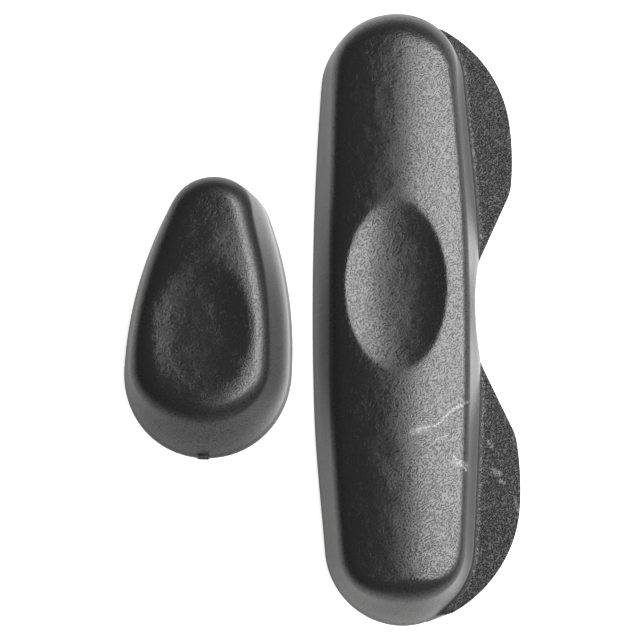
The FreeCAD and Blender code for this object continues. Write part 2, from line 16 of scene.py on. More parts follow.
import bpy
import numpy as np
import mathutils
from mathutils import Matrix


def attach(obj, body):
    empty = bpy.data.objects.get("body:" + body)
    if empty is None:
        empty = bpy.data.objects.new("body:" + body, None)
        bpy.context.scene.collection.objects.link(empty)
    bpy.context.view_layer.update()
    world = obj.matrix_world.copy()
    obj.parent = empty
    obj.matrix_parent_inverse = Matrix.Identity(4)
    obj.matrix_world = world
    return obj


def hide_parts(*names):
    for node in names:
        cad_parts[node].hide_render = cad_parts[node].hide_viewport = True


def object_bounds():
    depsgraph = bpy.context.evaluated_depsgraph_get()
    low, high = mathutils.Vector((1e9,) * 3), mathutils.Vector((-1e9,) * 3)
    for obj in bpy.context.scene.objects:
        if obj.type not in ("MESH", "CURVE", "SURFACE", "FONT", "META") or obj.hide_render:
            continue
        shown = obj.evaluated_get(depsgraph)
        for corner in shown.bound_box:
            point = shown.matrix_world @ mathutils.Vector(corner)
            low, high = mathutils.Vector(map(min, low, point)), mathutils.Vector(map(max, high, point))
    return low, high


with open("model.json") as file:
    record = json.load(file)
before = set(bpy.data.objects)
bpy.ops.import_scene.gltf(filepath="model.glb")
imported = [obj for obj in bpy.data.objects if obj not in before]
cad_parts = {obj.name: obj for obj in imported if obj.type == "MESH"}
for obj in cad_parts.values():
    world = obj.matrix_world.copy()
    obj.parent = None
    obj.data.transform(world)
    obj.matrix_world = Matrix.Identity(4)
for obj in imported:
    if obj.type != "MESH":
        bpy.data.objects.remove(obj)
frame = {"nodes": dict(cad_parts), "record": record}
CAD_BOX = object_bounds()

MM = 0.001
SLOPE_STEP = 0.5 * MM
SETTLING_ROUNDS = 12
GRAIN = "grain"
COARSE = "coarse"

log = logging.getLogger("armrest_pads")

Array = np.ndarray
Socket = bpy.types.NodeSocket
Color = tuple[float, float, float, float]
Vector = tuple[float, float, float]
UPWARD: Vector = (0.0, 0.0, 1.0)


class Flow(Enum):
    """Which way round an outline arc runs."""

    CONVEX = 1
    CONCAVE = -1


class Side(Enum):
    """The half of the long pad that a lobe of the flange lies in."""

    REAR = 1
    FRONT = -1


# Curves and small sums --------------------------------------------------------------------------

def smooth_step(value: Array, low: float, high: float) -> Array:
    """A smooth rise from 0 at low to 1 at high.

    Args:
        value: The numbers to map.
        low: Where the rise starts.
        high: Where the rise ends.

    Returns:
        Numbers from 0 to 1.
    """
    share = np.clip((value - low) / (high - low), 0.0, 1.0)
    return share * share * (3.0 - 2.0 * share)


def eased(count: int, start_pull: float, end_pull: float) -> Array:
    """Steps from 0 to 1, closer together towards the ends.

    Args:
        count: How many steps, leaving out 0 itself.
        start_pull: How strongly the steps crowd at 0, from 0 to 1.
        end_pull: How strongly they crowd at 1.

    Returns:
        The steps, the last of which is 1.
    """
    even = np.arange(1, count + 1) / count
    crowded_start = even ** 2
    crowded_end = 1.0 - (1.0 - even) ** 2
    rest = 1.0 - start_pull - end_pull
    return rest * even + start_pull * crowded_start + end_pull * crowded_end


def soft_positive(value: Array, softness: float) -> Array:
    """The positive part of a number, with its corner at zero rounded.

    Args:
        value: The numbers to clip.
        softness: The width of the rounding, in the same unit.

    Returns:
        Numbers that are zero or more.
    """
    return 0.5 * (value + np.sqrt(value * value + softness * softness))


@dataclass(frozen=True)
class RoundEnd:
    """A circle on the Y axis that forms one end of a pad."""

    centre: float
    radius: float


@dataclass(frozen=True)
class PadOutline:
    """The plan outline of a dome: two round ends joined by bulging side arcs.

    near is the end towards -Y. side_radius is the radius of the side arcs, which are tangent to
    both ends.
    """

    near: RoundEnd
    far: RoundEnd
    side_radius: float
    samples: int = 1500

    def walk(self) -> tuple[Array, Array]:
        """Walks round the outline counterclockwise from the right side.

        Returns:
            Points and outward normals, each an array of rows of x and y.
        """
        near_gap = self.side_radius - self.near.radius
        far_gap = self.side_radius - self.far.radius
        span = self.far.centre - self.near.centre
        rise = near_gap ** 2 - far_gap ** 2 - self.near.centre ** 2 + self.far.centre ** 2
        side_y = rise / (2.0 * span)
        side_x = math.sqrt(near_gap ** 2 - (self.near.centre - side_y) ** 2)
        low = math.atan2(self.near.centre - side_y, side_x)
        high = math.atan2(self.far.centre - side_y, side_x)
        arcs = (
            ((-side_x, side_y), self.side_radius, low, high),
            ((0.0, self.far.centre), self.far.radius, high, math.pi - high),
            ((side_x, side_y), self.side_radius, math.pi - high, math.pi - low),
            ((0.0, self.near.centre), self.near.radius, math.pi - low, 2.0 * math.pi + low),
        )
        points, normals = [], []
        for centre, radius, start, end in arcs:
            angle = np.linspace(start, end, self.samples, endpoint=False)
            normal = np.stack([np.cos(angle), np.sin(angle)], axis=1)
            points.append(np.array(centre) + radius * normal)
            normals.append(normal)
        return np.concatenate(points), np.concatenate(normals)


@dataclass(frozen=True)
class Hollow:
    """The elbow hollow: an oval bowl sunk into the crown.

    narrowing makes the oval slimmer towards +Y, as an egg is. power above 2 flattens the floor and
    steepens the sides.
    """

    x: float
    y: float
    half_x: float
    half_y: float
    depth: float
    narrowing: float
    power: float
    rim_softness: float

    def width_at(self, y: Array) -> Array:
        """The oval's half width at a place along Y."""
        return self.half_x * (1.0 - self.narrowing * (y - self.y) / self.half_y)

    def reach(self, x: Array, y: Array) -> Array:
        """How far out a point is: 0 at the centre and 1 on the rim."""
        across = (x - self.x) / self.width_at(y)
        along = (y - self.y) / self.half_y
        return np.sqrt(across * across + along * along)

    def drop(self, x: Array, y: Array) -> Array:
        """How far the surface lies below the crown."""
        share = 1.0 - self.reach(x, y) ** self.power
        return soft_positive(self.depth * share, self.rim_softness)

    def point(self, angle: Array, reach: Union[float, Array]) -> tuple[Array, Array]:
        """The plan point at an angle about the centre and a reach."""
        y = self.y + self.half_y * reach * np.sin(angle)
        x = self.x + self.width_at(y) * reach * np.cos(angle)
        return x, y


@dataclass(frozen=True)
class Crown:
    """The arched top of a dome. It curves across, and a little along its length."""

    height: float
    ridge_x: float
    across_radius: float
    along_radius: float
    hollow: Hollow

    def bare(self, x: Array, y: Array) -> Array:
        """The height of the top without its hollow."""
        across = (x - self.ridge_x) ** 2 / (2.0 * self.across_radius)
        return self.height - across - y ** 2 / (2.0 * self.along_radius)

    def top(self, x: Array, y: Array) -> Array:
        """The height of the top."""
        return self.bare(x, y) - self.hollow.drop(x, y)


@dataclass(frozen=True)
class Flange:
    """The thin flange of the long pad: two mirrored lobes with a round waist between them."""

    thickness: float
    reach: float
    dome_end: RoundEnd
    end_radius: float
    end_lean: float
    side_radius: float
    corner_radius: float
    slope: float
    waist_centre: float
    waist_radius: float
    step: float = 0.15 * MM

    def arc(self, centre: Array, radius: float, start: float, end: float, flow: Flow) -> Array:
        """Points along one arc of the edge.

        Args:
            centre: The arc's centre.
            radius: Its radius.
            start: The angle where it starts.
            end: The angle where it ends.
            flow: Convex where the flange is inside the arc.

        Returns:
            Rows of x and y.
        """
        count = max(int(abs(end - start) * radius / self.step), 2)
        angle = np.linspace(start, end, count, endpoint=False)
        if flow is Flow.CONCAVE:
            angle = angle[::-1]
        return centre + radius * np.stack([np.cos(angle), np.sin(angle)], axis=1)

    def lobe(self, side: Side) -> Array:
        """The edge of one lobe, from the middle of the waist to where it meets the dome's end.

        Args:
            side: Which lobe. The front one mirrors the rear one.

        Returns:
            Rows of x and y.
        """
        offset = self.end_radius - self.dome_end.radius
        lean = np.array([math.sin(self.end_lean), math.cos(self.end_lean)])
        end = np.array([0.0, self.dome_end.centre]) - offset * lean
        flank_x = self.reach - self.side_radius
        spread = self.side_radius - self.end_radius
        flank = np.array([flank_x, end[1] - math.sqrt(spread ** 2 - (end[0] - flank_x) ** 2)])
        joint = math.atan2(*(end - flank)[::-1])
        outward = np.array([math.cos(self.slope), -math.sin(self.slope)])
        along = np.array([math.sin(self.slope), math.cos(self.slope)])
        waist = np.array([self.waist_centre, 0.0])
        touch = waist - outward * self.waist_radius
        foot = touch - outward * self.corner_radius
        gap = foot - flank
        middle = float(gap @ along)
        room = (self.side_radius - self.corner_radius) ** 2 - float(gap @ gap)
        corner = foot + along * (math.sqrt(middle ** 2 + room) - middle)
        corner_top = math.atan2(*(corner - flank)[::-1])
        line_end = corner + outward * self.corner_radius
        count = int(np.linalg.norm(line_end - touch) / self.step)
        line = touch + np.linspace(0.0, 1.0, count, endpoint=False)[:, None] * (line_end - touch)
        pieces = (
            self.arc(waist, self.waist_radius, math.pi - self.slope, math.pi, Flow.CONCAVE),
            line,
            self.arc(corner, self.corner_radius, -self.slope, corner_top, Flow.CONVEX),
            self.arc(flank, self.side_radius, corner_top, joint, Flow.CONVEX),
            self.arc(end, self.end_radius, joint, math.pi / 2 - self.end_lean, Flow.CONVEX),
        )
        return np.concatenate(pieces) * np.array([1.0, float(side.value)])

    def edge(self) -> Array:
        """The whole edge, from the front end up to the rear end.

        Returns:
            Rows of x and y.
        """
        return np.concatenate([self.lobe(Side.FRONT)[::-1], self.lobe(Side.REAR)])

    def width_from(self, foot: Array, normal: Array) -> Array:
        """How far the flange reaches beyond the dome's foot, along the foot's outward normal.

        Args:
            foot: Points on the dome's foot.
            normal: Their outward normals.

        Returns:
            The widths. They are negative where the waist cuts into the dome, and zero where
            there is no flange.
        """
        edge = self.edge()
        widths = np.zeros(len(foot))
        limit_y = edge[-1, 1]
        for i, (point, way) in enumerate(zip(foot, normal)):
            if point[0] <= 0.0 or abs(point[1]) >= limit_y:
                continue
            offset = edge - point
            side = offset[:, 0] * way[1] - offset[:, 1] * way[0]
            out = offset @ way
            crossing = np.nonzero(side[:-1] * side[1:] <= 0.0)[0]
            if len(crossing):
                j = crossing[np.argmin(np.abs(out[crossing]))]
                share = side[j] / (side[j] - side[j + 1] + 1e-12)
                widths[i] = out[j] + share * (out[j + 1] - out[j])
        return widths


# Meshes -----------------------------------------------------------------------------------------

@dataclass(frozen=True)
class Profile:
    """One upright slice through a pad's wall and edge, as corners joined by straight runs.

    Each corner is (inset, height), measured inwards from the dome's foot. radii are the fillets of
    the inner corners, except the last one, about which the profile ends in a long bend. counts are
    the points on each lower run and fillet in turn. run_share and wall_share are the most that a
    fillet and the long bend may take of a run. least_turn is the sharpest corner, in radians, that
    a fillet is worked out for.
    """

    corners: Sequence[tuple[float, float]]
    radii: Sequence[float]
    counts: Sequence[int]
    wall_count: int
    shoulder_count: int
    run_share: float = 0.46
    least_turn: float = 0.05
    wall_share: float = 0.8

    def samples(self) -> Array:
        """Points along the profile, always the same number for the same counts.

        Returns:
            Rows of inset and height.
        """
        corner = np.array(self.corners)
        row = [corner[:1]]
        last = corner[0]
        for i in range(1, len(corner) - 2):
            before, after = corner[i - 1] - corner[i], corner[i + 1] - corner[i]
            long_before, long_after = np.linalg.norm(before), np.linalg.norm(after)
            before, after = before / long_before, after / long_after
            turn = math.acos(float(np.clip(before @ after, -1.0, 1.0)))
            room = self.run_share * min(long_before, long_after)
            half_turn = max(turn, self.least_turn) / 2.0
            tangent = min(self.radii[i - 1] / math.tan(half_turn), room)
            start, end = corner[i] + before * tangent, corner[i] + after * tangent
            run, bend = self.counts[2 * (i - 1)], self.counts[2 * (i - 1) + 1]
            row += [self.straight(last, start, run), self.bend(start, corner[i], end, bend)]
            last = end
        back = last - corner[-2]
        reach = np.linalg.norm(corner[-1] - corner[-2])
        start = corner[-2] + back * min(reach / np.linalg.norm(back), self.wall_share)
        row.append(self.straight(last, start, self.wall_count))
        row.append(self.bend(start, corner[-2], corner[-1], self.shoulder_count))
        return np.concatenate(row)

    @staticmethod
    def straight(start: Array, end: Array, count: int) -> Array:
        """Evenly spaced points from start to end, leaving out start."""
        return start + (end - start) * (np.arange(1, count + 1) / count)[:, None]

    @staticmethod
    def bend(start: Array, corner: Array, end: Array, count: int) -> Array:
        """Points along a curve from start to end, tangent to the runs through the corner."""
        share = (np.arange(1, count + 1) / count)[:, None]
        return (1 - share) ** 2 * start + 2 * share * (1 - share) * corner + share ** 2 * end


@dataclass
class Surface:
    """A growing mesh of points, faces and painted values."""

    points: list[Array] = field(default_factory=list)
    grain: list[Array] = field(default_factory=list)
    coarse: list[Array] = field(default_factory=list)
    faces: list[tuple[int, ...]] = field(default_factory=list)
    count: int = 0

    def ring(self, points: Array, grain: Union[float, Array],
             coarse: Union[float, Array] = 0.0) -> Array:
        """Adds a closed ring of points.

        Args:
            points: Rows of x, y and z.
            grain: How strong the grain is there, from 0 to 1.
            coarse: How much of it is the flange's coarse grain, from 0 to 1.

        Returns:
            The new points' numbers.
        """
        names = np.arange(self.count, self.count + len(points))
        self.points.append(points)
        self.grain.append(np.broadcast_to(grain, len(points)).astype(float))
        self.coarse.append(np.broadcast_to(coarse, len(points)).astype(float))
        self.count += len(points)
        return names

    def band(self, lower: Array, upper: Array) -> None:
        """Joins two rings with a band of four-sided faces."""
        ahead_low, ahead_high = np.roll(lower, -1), np.roll(upper, -1)
        self.faces.extend(zip(lower.tolist(), ahead_low.tolist(), ahead_high.tolist(), upper.tolist()))

    def bands(self, rings: Sequence[Array]) -> None:
        """Joins a row of rings, each to the next."""
        for lower, upper in zip(rings[:-1], rings[1:]):
            self.band(lower, upper)

    def build(self, name: str) -> bpy.types.Object:
        """Makes the mesh object.

        Args:
            name: The object's name.

        Returns:
            The object, linked to the scene, with its grain painted on.
        """
        mesh = bpy.data.meshes.new(name)
        mesh.from_pydata(np.concatenate(self.points).tolist(), [], self.faces)
        mesh.update()
        for title, values in ((GRAIN, self.grain), (COARSE, self.coarse)):
            painted = mesh.attributes.new(title, "FLOAT", "POINT")
            painted.data.foreach_set("value", np.concatenate(values))
        obj = bpy.data.objects.new(name, mesh)
        bpy.context.scene.collection.objects.link(obj)
        mesh.shade_smooth()
        return obj


@dataclass(frozen=True)
class GridPatch:
    """A square grid of points stretched over a disc. It fills the floor of a hollow."""

    ribs: int

    @property
    def side(self) -> int:
        """The number of grid cells along one side."""
        return self.ribs // 4

    def spot(self, column: Array, row: Array) -> tuple[Array, Array]:
        """Where a grid point lies in the unit disc."""
        u = 2.0 * column / self.side - 1.0
        v = 2.0 * row / self.side - 1.0
        return u * np.sqrt(1.0 - v * v / 2.0), v * np.sqrt(1.0 - u * u / 2.0)

    def border(self) -> tuple[Array, Array]:
        """Columns and rows of the border points, counterclockwise from the right side's middle."""
        side, half = self.side, self.side // 2
        up, down = np.arange(side), np.arange(side, 0, -1)
        column = np.concatenate([np.full(side, side), down, np.zeros(side), up])
        row = np.concatenate([up, np.full(side, side), down, np.zeros(side)])
        return np.roll(column, -half), np.roll(row, -half)

    def angles(self) -> Array:
        """The angle of each border point about the centre, always growing."""
        x, y = self.spot(*self.border())
        return np.unwrap(np.arctan2(y, x))

    def fill(self, surface: Surface, ring: Array, place: Callable[[Array, Array], Array]) -> None:
        """Closes a ring with the grid.

        Args:
            surface: The mesh to add to.
            ring: The ring's point numbers, which are the grid's border.
            place: Gives rows of x, y and z for unit disc points.
        """
        side = self.side
        names = np.full((side + 1, side + 1), -1)
        column, row = self.border()
        names[column.astype(int), row.astype(int)] = ring
        inner = np.arange(1, side)
        columns, rows = np.meshgrid(inner, inner, indexing="ij")
        points = place(*self.spot(columns.ravel().astype(float), rows.ravel().astype(float)))
        names[1:side, 1:side] = surface.ring(points, 1.0).reshape(side - 1, side - 1)
        corners = names[:-1, :-1], names[1:, :-1], names[1:, 1:], names[:-1, 1:]
        surface.faces.extend(zip(*(corner.ravel().tolist() for corner in corners)))


# Pads -------------------------------------------------------------------------------------------

class Relief:
    """What stands out from a dome's foot. The plain one is nothing at all."""

    thickness: float = 0.0

    def width_from(self, foot: Array, normal: Array) -> Array:
        """How far it reaches out from each point of the foot."""
        return np.zeros(len(foot))

    def presence(self, foot: Array, normal: Array) -> Array:
        """How much of it there is at each point of the foot, from 0 to 1."""
        return np.zeros(len(foot))


@dataclass(frozen=True)
class FlangeRelief(Relief):
    """The flange, fading out where its edge runs into the dome's ends."""

    flange: Flange
    fade: float

    @property
    def thickness(self) -> float:
        """The flange's thickness."""
        return self.flange.thickness

    def width_from(self, foot: Array, normal: Array) -> Array:
        """How far the flange reaches out from each point of the foot."""
        return self.flange.width_from(foot, normal)

    def presence(self, foot: Array, normal: Array) -> Array:
        """1 along the flange and 0 elsewhere, with a short smooth fade at each end."""
        limit = abs(self.flange.edge()[-1, 1])
        inside = smooth_step(limit - np.abs(foot[:, 1]), 0.0, self.fade)
        return np.where(foot[:, 0] > 0.0, inside, 0.0)


@dataclass(frozen=True)
class Gate(Relief):
    """The trimmed stub left where the mould was filled, at the foot of the -Y end."""

    half_width: float
    reach: float
    thickness: float = 3.0 * MM
    blend: float = 0.8 * MM

    def presence(self, foot: Array, normal: Array) -> Array:
        """1 within the stub's width and 0 beyond it."""
        inside = smooth_step(self.half_width - np.abs(foot[:, 0]), 0.0, self.blend)
        return np.where(foot[:, 1] < 0.0, inside, 0.0)

    def width_from(self, foot: Array, normal: Array) -> Array:
        """How far the stub reaches out from each point of the foot."""
        return self.reach * self.presence(foot, normal)


@dataclass(frozen=True)
class Around:
    """A size that changes smoothly round a pad. near is the -Y end and far the +Y end.

    The higher hold is, the further the ends' sizes reach round the corners.
    """

    right: float
    far: float
    left: float
    near: float
    hold: float = 3.5

    def at(self, normal: Array) -> Array:
        """The size at each outward normal."""
        side = np.where(normal[:, 0] < 0.0, self.left, self.right)
        end = np.where(normal[:, 1] < 0.0, self.near, self.far)
        return end + (side - end) * np.abs(normal[:, 0]) ** self.hold


@dataclass(frozen=True)
class WallShape:
    """How a wall leans inwards and how its edges are rounded.

    lean is the inset gained per unit of height, and straightening is how much of it the sides
    lose towards the pad's ends. shoulder is the length of the rounding at the top. trim is how
    far in the wall's foot lies from the dome's outline. bulge is how far the wall swells out, a
    third of the way up to swell_to. swell_lowness below 1 moves that place down. bare_edge is the
    height of the lower edge where nothing stands out from the foot. least_rise is how far the
    junction's corner lies above the flange, and bare_rise how much higher it is without one.
    """

    lean: Around
    shoulder: Around
    trim: Around
    bulge: Around
    straightening: float = 0.0
    half_length: float = 130.0 * MM
    foot_radius: float = 0.35 * MM
    edge_radius: float = 0.9 * MM
    junction_radius: float = 3.0 * MM
    edge_bevel: float = 0.15 * MM
    bare_edge: float = 1.0 * MM
    bare_rise: float = 2.0 * MM
    least_rise: float = 0.1 * MM
    swell_to: float = 25.0 * MM
    swell_lowness: float = 0.6

    def lean_at(self, foot: Array, normal: Array) -> Array:
        """The lean at each point of the foot."""
        ease = self.straightening * (foot[:, 1] / self.half_length) ** 2 * normal[:, 0] ** 2
        return self.lean.at(normal) * (1.0 - ease)

    def swell(self, height: Array, low: Array) -> Array:
        """How much of the bulge there is at each height of a wall whose foot is at low."""
        share = np.clip((height - low) / (self.swell_to - low), 0.0, 1.0)
        return np.sin(math.pi * share ** self.swell_lowness) ** 2


@dataclass
class MouldedPad:
    """One pad's moulding: its skin and foam are a single pour, so they are a single mesh.

    stretch is how far the ribs are spread along Y compared with X at the foot. wear_and_lit_side is
    how much the right wall, which faces the light, loses its wall grain, so that the skin paints a
    highlight on it with a smoother, glossier finish and more sheen. pinch is how far that wall draws
    in between two distances along Y, towards both ends. sway is how far the dome leans to the right
    between two places along Y. Rings count up from the underside: the lower_rings on the runs and
    fillets, then those of the wall and the shoulder. Rings below first_grain are smooth. The flange's
    coarse grain fades out over the last flange_fade rings before flange_end. A wall's sizes are
    averaged over one part in evening of the ribs, to each side.
    """

    name: str
    body: str
    covers: tuple[str, ...]
    outline: PadOutline
    crown: Crown
    wall: WallShape
    relief: Relief
    ribs: int
    stretch: float
    plate_thickness: float = 2.5 * MM
    plate_inset: float = 4.2 * MM
    floor_share: float = 0.7
    rim_reach: float = 1.03
    lower_rings: tuple[int, ...] = (3, 3, 2, 4, 5, 6)
    wall_rings: int = 8
    shoulder_rings: int = 14
    crown_rings: int = 34
    crown_crowding: float = 0.35
    bowl_rings: int = 26
    first_grain: int = 8
    flange_end: int = 20
    flange_fade: float = 3.0
    evening: int = 24
    sharp_angle: float = math.radians(48.0)
    wall_grain: float = 0.25
    wear_and_lit_side: float = 0.0
    pinch: float = 0.0
    pinch_from: float = 30.0 * MM
    pinch_to: float = 105.0 * MM
    sway: float = 0.0
    sway_from: float = 0.0
    sway_to: float = 1.0
    obj: Optional[bpy.types.Object] = None

    def feet(self, angles: Array) -> tuple[Array, Array]:
        """Points on the dome's foot, one for each rib.

        Args:
            angles: The ribs' angles about the hollow.

        Returns:
            The points and their outward normals.
        """
        points, normals = self.outline.walk()
        hollow = self.crown.hollow
        angle = np.arctan2((points[:, 1] - hollow.y) / self.stretch, points[:, 0] - hollow.x)
        turn = 2.0 * math.pi
        foot, normal = (
            np.stack([np.interp(angles, angle, rows[:, i], period=turn) for i in (0, 1)], axis=1)
            for rows in (points, normals)
        )
        return foot, normal / np.linalg.norm(normal, axis=1)[:, None]

    def crown_at(self, foot: Array, normal: Array, inset: float) -> float:
        """The crown's height at an inset from a point of the foot, hollow and all."""
        return float(self.crown.top(*(foot - normal * inset)))

    def slice(self, inner: float, foot: Array, normal: Array, lean: float, shoulder: float,
              width: float, presence: float) -> Array:
        """One rib's profile from the underside to where it meets the crown.

        Args:
            inner: The inset of the rim's inner edge.
            foot: The rib's point on the dome's foot.
            normal: The outward normal there.
            lean: The wall's lean.
            shoulder: The length of the shoulder's rounding.
            width: How far the flange or stub reaches out.
            presence: How much of it there is.

        Returns:
            Rows of inset and height.
        """
        wall = self.wall
        edge_height = wall.bare_edge + (self.relief.thickness - wall.bare_edge) * presence
        edge_inset = (1.0 - presence) * lean * edge_height + presence * (wall.edge_bevel - width)
        if -width > lean * edge_height:
            edge_height = -width / lean
            edge_inset = -width
        junction = edge_height + wall.least_rise + wall.bare_rise * (1.0 - presence)
        end = lean * self.meeting_height(foot, normal, lean) + shoulder
        end_height = self.crown_at(foot, normal, end)
        slope = (self.crown_at(foot, normal, end + SLOPE_STEP) - end_height) / SLOPE_STEP
        turn_height = (end_height - slope * end) / (1.0 - slope * lean)
        corners = (
            (inner, 0.0),
            (-width, 0.0),
            (edge_inset, edge_height),
            (lean * junction, junction),
            (lean * turn_height, turn_height),
            (end, end_height),
        )
        radii = (wall.foot_radius, wall.edge_radius, wall.junction_radius)
        profile = Profile(corners, radii, self.lower_rings, self.wall_rings, self.shoulder_rings)
        return profile.samples()

    def meeting_height(self, foot: Array, normal: Array, lean: float) -> float:
        """Where a straight wall would meet the crown.

        Args:
            foot: The rib's point on the dome's foot.
            normal: The outward normal there.
            lean: The wall's lean.

        Returns:
            The height, which settles in a few rounds.
        """
        height = self.crown.height
        for _ in range(SETTLING_ROUNDS):
            height = self.crown_at(foot, normal, lean * height)
        return height

    def build(self) -> bpy.types.Object:
        """Builds the moulding as one closed mesh.

        Returns:
            The mesh object, in the pad's own frame.
        """
        patch = GridPatch(self.ribs)
        angles = patch.angles()
        outline, normal = self.feet(angles)
        right = np.maximum(normal[:, 0], 0.0) ** 2
        pinch = self.pinch * smooth_step(np.abs(outline[:, 1]), self.pinch_from, self.pinch_to)
        trim = self.evened(self.wall.trim.at(normal) + pinch * right)
        foot = outline - normal * trim[:, None]
        lean = self.evened(self.wall.lean_at(foot, normal))
        shoulder = self.evened(self.wall.shoulder.at(normal))
        width = self.relief.width_from(foot, normal)
        presence = self.relief.presence(foot, normal)
        bulge = self.evened(self.wall.bulge.at(normal))
        # The right walls face the light: their wall grain is taken away, so that the skin paints a
        # highlight on them with its glossier, smoother finish and more sheen.
        wear_and_lit_side = self.wear_and_lit_side * right
        inner = self.plate_inset + np.minimum(-width, -trim)
        slices = np.stack([
            self.slice(inner[i], foot[i], normal[i], lean[i], shoulder[i], width[i], presence[i])
            for i in range(self.ribs)
        ])
        opening = foot - normal * inner[:, None]
        surface = Surface()
        rings = [surface.ring(np.column_stack([opening, np.full(self.ribs, height)]), 0.0)
                 for height in (self.plate_thickness, 0.0)]
        for column in range(1, slices.shape[1]):
            inset, height = slices[:, column, 0], slices[:, column, 1]
            if column > self.flange_end:
                inset = inset - bulge * self.wall.swell(height, slices[:, self.flange_end, 1])
            plan = self.swayed(foot - normal * inset[:, None])
            rings.append(surface.ring(np.column_stack([plan, height]),
                                      *self.grain_at(column, slices.shape[1], presence, wear_and_lit_side)))
        last = foot - normal * slices[:, -1, 0][:, None]
        rings += self.top_rings(surface, last, angles)
        surface.bands(rings)
        surface.faces.append(tuple(rings[0][::-1].tolist()))
        patch.fill(surface, rings[-1], self.floor_point)
        self.obj = surface.build(self.name)
        self.obj.data.set_sharp_from_angle(angle=self.sharp_angle)
        return self.obj

    def evened(self, sizes: Array) -> Array:
        """One size per rib, averaged with its neighbours so that the walls show no crease.

        Args:
            sizes: The size at each rib, all the way round.

        Returns:
            The averaged sizes.
        """
        reach = self.ribs // self.evening
        window = np.hanning(2 * reach + 3)[1:-1]
        looped = np.concatenate([sizes[-reach:], sizes, sizes[:reach]])
        return np.convolve(looped, window / window.sum(), mode="valid")

    def swayed(self, plan: Array) -> Array:
        """Plan points moved by the dome's sway."""
        share = smooth_step(plan[:, 1], self.sway_from, self.sway_to)
        return plan + np.column_stack([self.sway * share, np.zeros(len(plan))])

    def grain_at(self, column: int, columns: int, presence: Array,
                 wear_and_lit_side: Array) -> tuple[Array, Array]:
        """How strong the moulded grain is on one ring of the profile.

        Args:
            column: Which ring, counted from the underside.
            columns: How many rings the profile has.
            presence: How much flange there is at each rib.
            wear_and_lit_side: How much the wall faces the light at each rib. Its grain is taken away
                there, so that the skin paints a highlight on it.

        Returns:
            The strength for each rib, and how much of it is coarse grain.
        """
        none = np.zeros(len(presence))
        if column < self.first_grain:
            return none, none
        wall = self.wall_grain * (1.0 - wear_and_lit_side)
        if column < self.flange_end:
            coarse = presence * min((self.flange_end - column) / self.flange_fade, 1.0)
            return wall + (1.0 - wall) * coarse, coarse
        share = max((column - columns + self.shoulder_rings) / self.shoulder_rings, 0.0)
        return wall + (1.0 - wall) * share, none

    def top_rings(self, surface: Surface, start: Array, angles: Array) -> list[Array]:
        """The rings across the crown, over the hollow's rim and down its side.

        Args:
            surface: The mesh to add to.
            start: Where the shoulder ends on each rib.
            angles: The ribs' angles about the hollow.

        Returns:
            The rings' point numbers.
        """
        hollow = self.crown.hollow
        rim = np.column_stack(hollow.point(angles, self.rim_reach))
        rings = []
        for share in eased(self.crown_rings, self.crown_crowding, self.crown_crowding):
            plan = start + (rim - start) * share
            height = self.crown.top(plan[:, 0], plan[:, 1])
            rings.append(surface.ring(np.column_stack([self.swayed(plan), height]), 1.0))
        for reach in np.linspace(self.rim_reach, self.floor_share, self.bowl_rings + 1)[1:]:
            x, y = hollow.point(angles, reach)
            plan = self.swayed(np.column_stack([x, y]))
            rings.append(surface.ring(np.column_stack([plan, self.crown.top(x, y)]), 1.0))
        return rings

    def floor_point(self, across: Array, along: Array) -> Array:
        """Points on the hollow's floor for points of the unit disc."""
        hollow = self.crown.hollow
        y = hollow.y + hollow.half_y * self.floor_share * along
        x = hollow.x + hollow.width_at(y) * self.floor_share * across
        plan = self.swayed(np.column_stack([x, y]))
        return np.column_stack([plan, self.crown.top(x, y)])

    def place(self) -> None:
        """Puts the moulding where its pad lies. The long pad's own frame is the model's."""

    def fit(self, finish: "Finish") -> None:
        """Args:
            finish: The skin's finish.
        """
        finish.put_on(self.obj)
        self.place()
        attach(self.obj, self.body)
        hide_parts(*self.covers)
        log.info("%s: %d points, %d ribs", self.name, len(self.obj.data.vertices), self.ribs)


class LongPad(MouldedPad):
    """The long pad, with its flange and an oval hollow at the elbow's place."""

    def __init__(self) -> None:
        """Sets the long pad's sizes."""
        far = RoundEnd(97.0 * MM, 32.5 * MM)
        flange = Flange(thickness=4.5 * MM, reach=49.3 * MM, dome_end=far, end_radius=55.6 * MM,
                        end_lean=math.radians(17.0), side_radius=121.0 * MM,
                        corner_radius=21.0 * MM, slope=math.radians(25.0),
                        waist_centre=88.3 * MM, waist_radius=58.0 * MM)
        hollow = Hollow(x=-2.5 * MM, y=7.6 * MM, half_x=20.5 * MM, half_y=34.5 * MM,
                        depth=4.9 * MM, narrowing=0.0, power=2.2, rim_softness=0.5 * MM)
        super().__init__(
            name="long_pad_moulding", body="long_pad",
            covers=("long_pad_skin", "long_pad_foam"),
            outline=PadOutline(RoundEnd(-97.0 * MM, 32.5 * MM), far, side_radius=1272.4 * MM),
            crown=Crown(height=29.3 * MM, ridge_x=-1.0 * MM, across_radius=91.0 * MM,
                        along_radius=3.0, hollow=hollow),
            wall=WallShape(
                lean=Around(right=0.34, far=0.25, left=0.31, near=0.56),
                shoulder=Around(right=3.2 * MM, far=14.0 * MM, left=4.0 * MM, near=8.0 * MM),
                trim=Around(right=0.9 * MM, far=-0.5 * MM, left=0.0, near=0.0),
                bulge=Around(right=1.3 * MM, far=0.3 * MM, left=0.3 * MM, near=0.3 * MM),
                straightening=0.45, junction_radius=4.0 * MM,
            ),
            # The right wall, which faces the light, gets a painted highlight through the glossier
            # skin.
            relief=FlangeRelief(flange, fade=6.0 * MM), ribs=600, stretch=3.4, wear_and_lit_side=0.9,
            pinch=2.8 * MM, sway=1.3 * MM, sway_from=-40.0 * MM, sway_to=-100.0 * MM,
        )


